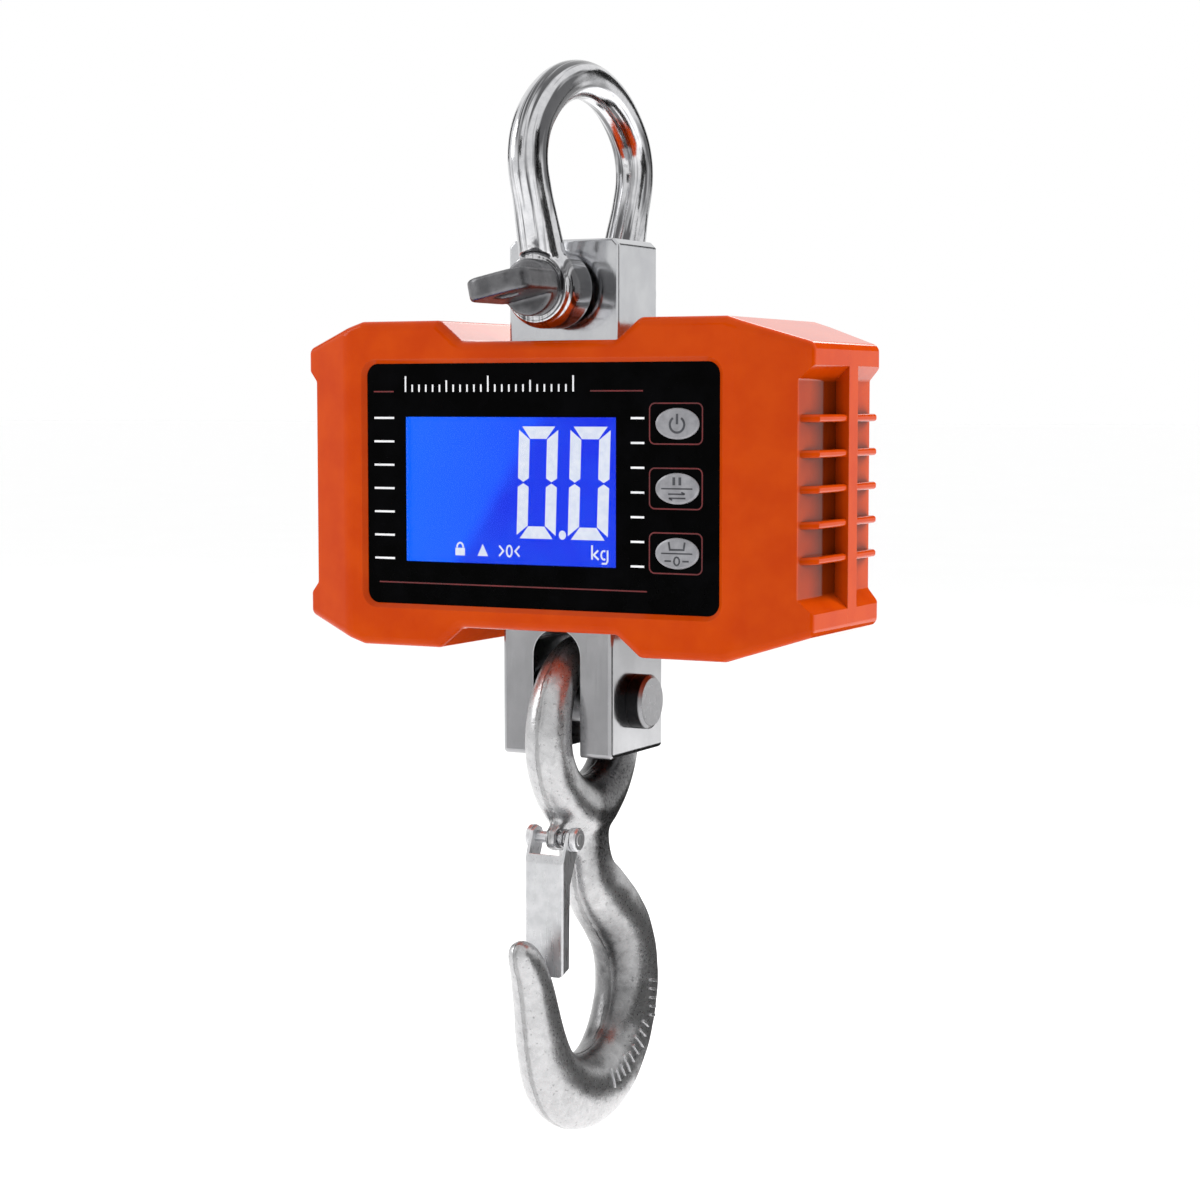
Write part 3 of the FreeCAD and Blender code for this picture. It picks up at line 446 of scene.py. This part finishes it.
# ------------------------------------------------------------------ building
def stand(name, data):
    """Any data as an object in the scene."""
    piece = bpy.data.objects.new(name, data)
    bpy.context.scene.collection.objects.link(piece)
    return piece


def dress(mesh, material, smooth):
    """One material all over a mesh, its faces smooth or flat."""
    mesh.materials.clear()
    mesh.materials.append(material)
    for polygon in mesh.polygons:
        polygon.use_smooth = smooth


def mesh_of(made, name):
    """The mesh that a bmesh holds, its faces turned outwards."""
    bmesh.ops.recalc_face_normals(made, faces=made.faces)
    mesh = bpy.data.meshes.new(name)
    made.to_mesh(mesh)
    made.free()
    return mesh


def remeshed(name, node, voxel_mm, rounds, body, slot, pits=None, crisp=None):
    """A node's shape as one even skin, its inside corners softened.

    crisp tells which points keep their turned edges; pits is (size, depth) in mm.
    """
    source = bmesh.new()
    source.from_mesh(NODES[node].data)
    bmesh.ops.remove_doubles(source, verts=source.verts, dist=2e-6)
    mesh = bpy.data.meshes.new(name)
    source.to_mesh(mesh)
    source.free()
    piece = stand(name, mesh)
    skin = piece.modifiers.new("skin", "REMESH")
    skin.mode = "VOXEL"
    skin.voxel_size = voxel_mm / 1000
    graph = bpy.context.evaluated_depsgraph_get()
    done = bpy.data.meshes.new_from_object(piece.evaluated_get(graph))
    piece.modifiers.clear()
    piece.data = done
    made = bmesh.new()
    made.from_mesh(done)
    for turn in range(rounds):
        moving = [v for v in made.verts if turn < 2 or not (crisp and crisp(v.co))]
        bmesh.ops.smooth_vert(made, verts=moving, factor=0.5,
                              use_axis_x=True, use_axis_y=True, use_axis_z=True)
    if pits:
        size_mm, depth_mm = pits
        made.normal_update()
        for vertex in made.verts:
            dip = noise.fractal(vertex.co * (1000 / size_mm), 1.0, 2.0, 2)
            vertex.co -= vertex.normal * (depth_mm / 1000) * max(0.0, 0.5 + 0.5 * dip)
    made.to_mesh(done)
    made.free()
    dress(done, MAT[slot], smooth=True)
    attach(piece, body)
    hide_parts(node)
    return piece


def raised_bars(name, bars, skin, height_mm, body, slot):
    """Short raised marks laid on the +X side of a skin: start, end, width in Y-Z."""
    sunk = 0.0004
    outside_x = 40
    tree = BVHTree.FromPolygons([v.co for v in skin.data.vertices],
                                [p.vertices for p in skin.data.polygons])
    made = bmesh.new()
    for (y0, z0), (y1, z1), width in bars:
        length = math.hypot(y1 - y0, z1 - z0)
        wy, wz = (z0 - z1) / length * width / 2, (y1 - y0) / length * width / 2
        steps = max(1, round(length))
        rows = []
        for i in range(steps + 1):
            y, z = y0 + (y1 - y0) * i / steps, z0 + (z1 - z0) * i / steps
            row = []
            for side in (-1, 1):
                start = P(outside_x, y + side * wy, z + side * wz)
                hit, normal, _, _ = tree.ray_cast(start, Vector((-1, 0, 0)))
                row += [made.verts.new(hit + normal * height_mm / 1000),
                        made.verts.new(hit - normal * sunk)]
            rows.append(row)
        for a, b in zip(rows, rows[1:]):
            made.faces.new([a[0], a[2], b[2], b[0]])
            made.faces.new([a[1], b[1], b[3], a[3]])
            made.faces.new([a[0], b[0], b[1], a[1]])
            made.faces.new([a[2], a[3], b[3], b[2]])
        made.faces.new([rows[0][0], rows[0][1], rows[0][3], rows[0][2]])
        made.faces.new([rows[-1][0], rows[-1][2], rows[-1][3], rows[-1][1]])
    marks = mesh_of(made, name)
    dress(marks, MAT[slot], smooth=False)
    piece = stand(name, marks)
    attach(piece, body)


def plates(name, outlines, front_y, thick, material, body):
    """Flat printed shapes: outlines in X-Z, standing at a depth, a little thick."""
    made = bmesh.new()
    for outline in outlines:
        front = [made.verts.new(P(x, front_y, z)) for x, z in outline]
        back = [made.verts.new(P(x, front_y + thick, z)) for x, z in outline]
        made.faces.new(front)
        made.faces.new(list(reversed(back)))
        for i in range(len(front)):
            j = (i + 1) % len(front)
            made.faces.new([front[j], front[i], back[i], back[j]])
    mesh = mesh_of(made, name)
    dress(mesh, material, smooth=False)
    piece = stand(name, mesh)
    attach(piece, body)


def bar(x0, x1, z0, z1):
    return [(x0, z0), (x1, z0), (x1, z1), (x0, z1)]


def stroke(points, width, closed=False):
    """Quads along a line of points, mitred where two meet."""
    count = len(points)
    rims = []
    for i, (x, z) in enumerate(points):
        before = points[i - 1] if i or closed else None
        after = points[(i + 1) % count] if i + 1 < count or closed else None
        sides = [(a, b) for a, b in ((before, (x, z)), ((x, z), after)) if a and b]
        normals = []
        for (x0, z0), (x1, z1) in sides:
            length = math.hypot(x1 - x0, z1 - z0)
            normals.append(((z0 - z1) / length, (x1 - x0) / length))
        (ax, az), (bx, bz) = normals[0], normals[-1]
        reach = width / 2 / (1 + ax * bx + az * bz)
        mx, mz = (ax + bx) * reach, (az + bz) * reach
        rims.append(((x + mx, z + mz), (x - mx, z - mz)))
    pairs = list(zip(rims, rims[1:] + rims[:1] if closed else rims[1:]))
    return [[a[0], b[0], b[1], a[1]] for a, b in pairs]


def arc(x, z, a, b, start, end, steps):
    return [(x + a * math.cos(math.radians(start + (end - start) * i / steps)),
             z + b * math.sin(math.radians(start + (end - start) * i / steps)))
            for i in range(steps + 1)]


def tube(name, points, radius, sides=12):
    """A round wire through points, capped."""
    made = bmesh.new()
    side = None
    rings = []
    for i, point in enumerate(points):
        ahead = points[min(i + 1, len(points) - 1)] - points[max(i - 1, 0)]
        ahead.normalize()
        if side is None:
            side = ahead.orthogonal().normalized()
        side = (side - ahead * side.dot(ahead)).normalized()
        up = ahead.cross(side)
        rings.append([made.verts.new(point + (side * math.cos(t) + up * math.sin(t)) * radius)
                      for t in (2 * math.pi * k / sides for k in range(sides))])
    for a, b in zip(rings, rings[1:]):
        for k in range(sides):
            j = (k + 1) % sides
            made.faces.new([a[k], a[j], b[j], b[k]])
    made.faces.new(list(reversed(rings[0])))
    made.faces.new(rings[-1])
    return mesh_of(made, name)


# ------------------------------------------------------------------ load line
PIN_Z = 63.8
EAR_FACE_Y = -0.0302
EAR_RADIUS = 0.0128


def on_ear_face(point):
    """The turned front face of the front ear, round the pin."""
    return point.y < EAR_FACE_Y and math.hypot(point.x, point.z - level(PIN_Z)) < EAR_RADIUS


remeshed("bow_polished", "shackle_bow", 0.36, 34, "shackle", "polished_steel", crisp=on_ear_face)
hook = remeshed("hook_forged", "hook", 0.75, 26, "hook", "forged_steel", pits=(9.0, 0.3))
remeshed("pin_cast", "shackle_pin", 0.42, 4, "shackle", "pin_steel", pits=(4.0, 0.06))

# forging marks: nine bars round the bend that point at a centre on the load line, every
# third one longer, then five up the back
MARK_WIDTH = 0.9
MARK_CENTRE_Z = -170
marks = []
for i in range(9):
    t = math.radians(-84 + 6.2 * i)
    marks.append([(reach * math.cos(t), MARK_CENTRE_Z + reach * math.sin(t))
                  for reach in ((30.2, 34.6) if i % 3 else (29.0, 35.6))] + [MARK_WIDTH])
marks += [((30.0, -186.0 + 3.1 * i), (34.6, -187.2 + 3.1 * i), MARK_WIDTH) for i in range(5)]
raised_bars("hook_marks", marks, hook, 0.45, "hook", "plated_steel")

# ------------------------------------------------------------------ display
GLASS_Y = -29.26
SIGN_THICK = 0.04


def seven_zero(x0, x1, z0, z1, w):
    """The six lit segments of a nought, mitred, with hairline gaps and a slight lean."""
    h, gap, tip = w / 2, 0.22, 0.9
    mid = (z0 + z1) / 2
    flat = [
        [(x0 + tip + gap, z1), (x1 - tip - gap, z1),
         (x1 - gap - w, z1 - w), (x0 + gap + w, z1 - w)],
        [(x0 + gap + w, z0 + w), (x1 - gap - w, z0 + w),
         (x1 - tip - gap, z0), (x0 + tip + gap, z0)],
        [(x0, z1 - tip - gap), (x0 + w, z1 - gap - w), (x0 + w, mid + gap + h * 0.6),
         (x0 + h, mid + gap), (x0, mid + gap + h * 0.6)],
        [(x1, z1 - tip - gap), (x1, mid + gap + h * 0.6), (x1 - h, mid + gap),
         (x1 - w, mid + gap + h * 0.6), (x1 - w, z1 - gap - w)],
        [(x0, z0 + tip + gap), (x0, mid - gap - h * 0.6), (x0 + h, mid - gap),
         (x0 + w, mid - gap - h * 0.6), (x0 + w, z0 + gap + w)],
        [(x1, z0 + tip + gap), (x1 - w, z0 + gap + w), (x1 - w, mid - gap - h * 0.6),
         (x1 - h, mid - gap), (x1, mid - gap - h * 0.6)],
    ]
    return [[(x + 0.03 * (z - mid), z) for x, z in outline] for outline in flat]


digits = []
for left, right in ((-8.5, 5.9), (10.4, 24.9)):
    digits += seven_zero(left, right, -17.0, 19.4, 4.0)
digits.append(arc(7.9, -15.6, 1.3, 1.5, 0, 340, 17))
plates("lcd_digits", digits, GLASS_Y, SIGN_THICK, MAT["segment_white"], "scale")

signs = []
signs.append(bar(-32.2, -28.6, -23.2, -20.7))                       # closed padlock
signs += stroke(arc(-30.4, -20.6, 1.2, 1.6, 0, 180, 8), 0.6)
signs.append([(-23.8, -23.2), (-19.8, -23.2), (-21.8, -19.2)])      # steady mark
signs += stroke([(-15.6, -19.6), (-14.0, -21.3), (-15.6, -23.0)], 0.6)
signs += stroke(arc(-11.8, -21.3, 1.0, 1.8, 0, 330, 11), 0.6, closed=True)
signs += stroke([(-8.0, -19.6), (-9.6, -21.3), (-8.0, -23.0)], 0.6)
signs += stroke([(18.7, -18.6), (18.7, -23.2)], 0.65)               # unit: kg
signs += stroke([(20.9, -20.2), (19.3, -21.7), (21.1, -23.2)], 0.65)
signs += stroke(arc(23.0, -21.7, 1.0, 1.4, 60, 300, 9), 0.6)
signs += stroke([(24.3, -20.1), (24.3, -23.6), (23.8, -24.4), (22.2, -24.4)], 0.6)
plates("lcd_signs", signs, GLASS_Y, SIGN_THICK, MAT["segment_white"], "scale")

# ------------------------------------------------------------------ panel print
PRINT_Y = -31.93
PRINT_THICK = 0.05


def print_on_panel(name, outlines, ink):
    plates(name, outlines, PRINT_Y, PRINT_THICK, MAT[ink], "scale")


ticks = []
for x0, x1, top, pitch in ((-62.1, -54.3, 22.0, 7.78), (33.7, 38.5, 22.2, 7.83)):
    ticks += [bar(x0, x1, z - 0.35, z + 0.35) for z in (top - pitch * i for i in range(7))]
print_on_panel("panel_ticks", ticks, "print_white")
scale_marks = []
for i in range(25):
    x = -49.8 + i * 2.62
    tall = 5.2 if i % 12 == 0 else 3.8 if i % 6 == 0 else 2.4
    scale_marks.append(bar(x - 0.3, x + 0.3, 30.6, 30.6 + tall))
print_on_panel("panel_scale_marks", scale_marks, "print_white")


def frame_line(x0, x1, z0, z1, r, width):
    """A closed rounded rectangle as strokes."""
    path = (arc(x1 - r, z1 - r, r, r, 0, 90, 5) + arc(x0 + r, z1 - r, r, r, 90, 180, 5)
            + arc(x0 + r, z0 + r, r, r, 180, 270, 5) + arc(x1 - r, z0 + r, r, r, 270, 360, 5))
    return stroke(path, width, closed=True)


BUTTON_X, BUTTON_Z = 50.1, (20.5, 0.1, -20.3)
red = [bar(-62.2, -54.4, 30.5, 30.95), bar(19.2, 38.0, 30.6, 31.05),
       bar(-60.4, 39.5, -32.9, -32.45)]
for z in BUTTON_Z:
    red += frame_line(40.35, 58.7, z - 6.4, z + 6.4, 1.8, 0.45)
print_on_panel("panel_red_lines", red, "print_red")

KEY_Y = -32.37


def print_on_key(name, outlines, body):
    plates(name, outlines, KEY_Y - 0.06, 0.08, MAT["print_dark"], body)


power = stroke(arc(BUTTON_X, BUTTON_Z[0] - 0.3, 2.5, 2.5, 125, 415, 22), 0.7)
power += stroke([(BUTTON_X, BUTTON_Z[0] - 0.2), (BUTTON_X, BUTTON_Z[0] + 3.1)], 0.75)
print_on_key("icon_power", power, "power_key")

x, z = BUTTON_X, BUTTON_Z[1]
hold = [bar(x - 5.4, x + 5.4, z - 0.22, z + 0.22), bar(x - 1.5, x - 0.6, z + 1.1, z + 3.6),
        bar(x + 0.6, x + 1.5, z + 1.1, z + 3.6)]
for start, end in (((-3.0, -1.7), (2.6, -1.7)), ((1.6, -1.1), (2.8, -1.7)),
                   ((-2.6, -3.0), (3.0, -3.0)), ((-2.8, -3.0), (-1.6, -3.6))):
    hold += stroke([(x + start[0], z + start[1]), (x + end[0], z + end[1])], 0.5)
print_on_key("icon_hold", hold, "hold_key")

z = BUTTON_Z[2]
tare = [bar(x - 5.4, x + 5.4, z - 0.22, z + 0.22)]
tare += stroke([(x - 2.8, z + 3.6), (x - 2.4, z + 1.2),
                (x + 2.4, z + 1.2), (x + 2.8, z + 3.6)], 0.6)
tare += stroke(arc(x, z - 2.4, 0.95, 1.3, 0, 330, 11), 0.5, closed=True)
for x0, x1 in ((x - 4.2, x - 2.0), (x + 2.0, x + 4.2)):
    tare += stroke([(x0, z - 2.4), (x1, z - 2.4)], 0.5)
print_on_key("icon_tare", tare, "tare_key")

# ------------------------------------------------------------------ latch spring
LATCH_Y, LATCH_Z = -20.5, -116.5
COIL_TURNS, COIL_STEPS = 2.6, 80
COIL_X, COIL_LENGTH, COIL_RADIUS = 2.95, 2.9, 2.75
WIRE_RADIUS = 0.00045
wire = []
for i in range(COIL_STEPS + 1):
    turn = 2 * math.pi * COIL_TURNS * i / COIL_STEPS
    wire.append(P(COIL_X + COIL_LENGTH * i / COIL_STEPS,
                  LATCH_Y + COIL_RADIUS * math.sin(turn), LATCH_Z + COIL_RADIUS * math.cos(turn)))
leg = wire[-1].copy()
wire += [leg + Vector((0, -0.0005, -0.002)) + Vector((0, -0.00006 * k, -0.0011 * k))
         for k in range(9)]
coil = tube("latch_coil", wire, WIRE_RADIUS)
dress(coil, MAT["spring_steel"], smooth=True)
spring = stand("latch_coil", coil)
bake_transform(spring)
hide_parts("latch_spring")

# ------------------------------------------------------------------ studio
FLOOR_HALF = 40
FLOOR_DROP = 0.12


def sheet(name, half):
    """A flat square mesh."""
    made = bmesh.new()
    bmesh.ops.create_grid(made, x_segments=1, y_segments=1, size=half)
    mesh = bpy.data.meshes.new(name)
    made.to_mesh(mesh)
    made.free()
    return mesh


floor = stand("floor", sheet("floor", FLOOR_HALF))
floor.location = (0, 0, cad_box[0][2] - FLOOR_DROP)
pale = Nodes("floor_pale")
cloud = pale.ramp(pale.noise(300.0, 2), 0.3, 0.7)
pale.set(Base_Color=pale.mix(cloud, rgb(254, 254, 254), rgb(255, 255, 255)),
         Roughness=0.6, Specular_IOR_Level=0.2)
floor.data.materials.append(pale.mat)

world = bpy.data.worlds.new("studio")
bpy.context.scene.world = world
world.use_nodes = True
sky = world.node_tree.nodes["Background"]
sky.inputs["Color"].default_value = (1, 1, 1, 1)
sky.inputs["Strength"].default_value = 1.0


def aim_at(piece, place, target, axis):
    """Stands a piece at a place with one of its axes turned to the target."""
    piece.location = place
    piece.rotation_mode = "QUATERNION"
    piece.rotation_quaternion = (Vector(target) - Vector(place)).to_track_quat(axis, "Y")


def softbox(name, place, aim, width, height, watts, mirrored=True):
    """An area light; mirrored tells whether shiny metal shows it."""
    data = bpy.data.lights.new(name, "AREA")
    data.shape = "RECTANGLE"
    data.size, data.size_y = width, height
    data.energy = watts
    lamp = stand(name, data)
    aim_at(lamp, place, aim, "-Z")
    lamp.visible_camera = False
    lamp.visible_glossy = mirrored
    return lamp


centre = P(0, 0, -30)
softbox("key_rear_right", (0.95, 1.45, 1.0), centre, 0.5, 0.9, 34, False)
rear = softbox("rear", (-0.2, 1.7, 0.78), centre, 0.8, 0.45, 5)
painted = bpy.data.collections.new("painted")    # all that the rear light falls on
for name in ("front_shell", "rear_shell"):
    painted.objects.link(bpy.data.objects[name])
rear.light_linking.receiver_collection = painted
softbox("top", (-0.2, 0.3, 1.6), centre, 1.4, 0.8, 6, False)
softbox("front_left", (-1.75, -0.75, 0.7), centre, 0.6, 1.2, 9)


def flag(name, place, aim, width, height, shade):
    """A dark card out of shot, for the polished steel to mirror."""
    piece = stand(name, sheet(name, 0.5))
    piece.scale = (width, height, 1)
    aim_at(piece, place, aim, "Z")
    piece.visible_camera = False
    piece.visible_shadow = False
    piece.visible_diffuse = False
    cloth = Nodes(name)
    dark, light = (shade,) * 3 + (1,), (shade * 1.3,) * 3 + (1,)
    cloth.set(Base_Color=cloth.mix(cloth.ramp(cloth.noise(80.0), 0.3, 0.7), dark, light),
              Roughness=1.0, Specular_IOR_Level=0.0)
    piece.data.materials.append(cloth.mat)


def beside(height, azimuth, reach):
    """A place round the load line: height in mm, degrees from +X, metres away."""
    t = math.radians(azimuth)
    return P(0, 0, height) + Vector((math.cos(t), math.sin(t), 0)) * reach


for name, height, azimuth, reach, width, tall, shade in (
        ("flag_bow_1", 560, -106, 1.5, 0.42, 0.72, 0.02),
        ("flag_bow_2", 560, -8, 1.5, 0.62, 0.72, 0.02),
        ("flag_bow_3", 560, 76, 1.5, 0.62, 0.72, 0.02),
        ("flag_bow_4", 560, 158, 1.5, 0.46, 0.72, 0.02),
        ("flag_right", -60, 2, 1.5, 1.10, 0.52, 0.02),
        ("flag_clevis", -245, -117, 1.2, 0.60, 0.19, 0.45),
        ("flag_hook_rear", -244, 84, 0.34, 0.44, 0.183, 0.02),
        ("flag_hook_right", -244, 28, 0.34, 0.34, 0.183, 0.02)):
    flag(name, beside(height, azimuth, reach), P(0, 0, height), width, tall, shade)

# camera: to the right of the display and level with the housing
SENSOR, LENS = 36.0, 74.46
VIEW = Vector((-0.4578, 0.8855, -0.0793))
camera_data = bpy.data.cameras.new("camera")
camera_data.sensor_width = SENSOR
camera_data.lens = LENS
camera = stand("camera", camera_data)
camera.location = P(386.5, -735.5, 27.1)
camera.rotation_mode = "QUATERNION"
camera.rotation_quaternion = VIEW.to_track_quat("-Z", "Y")
bpy.context.scene.camera = camera
bpy.context.scene.view_settings.view_transform = "Standard"
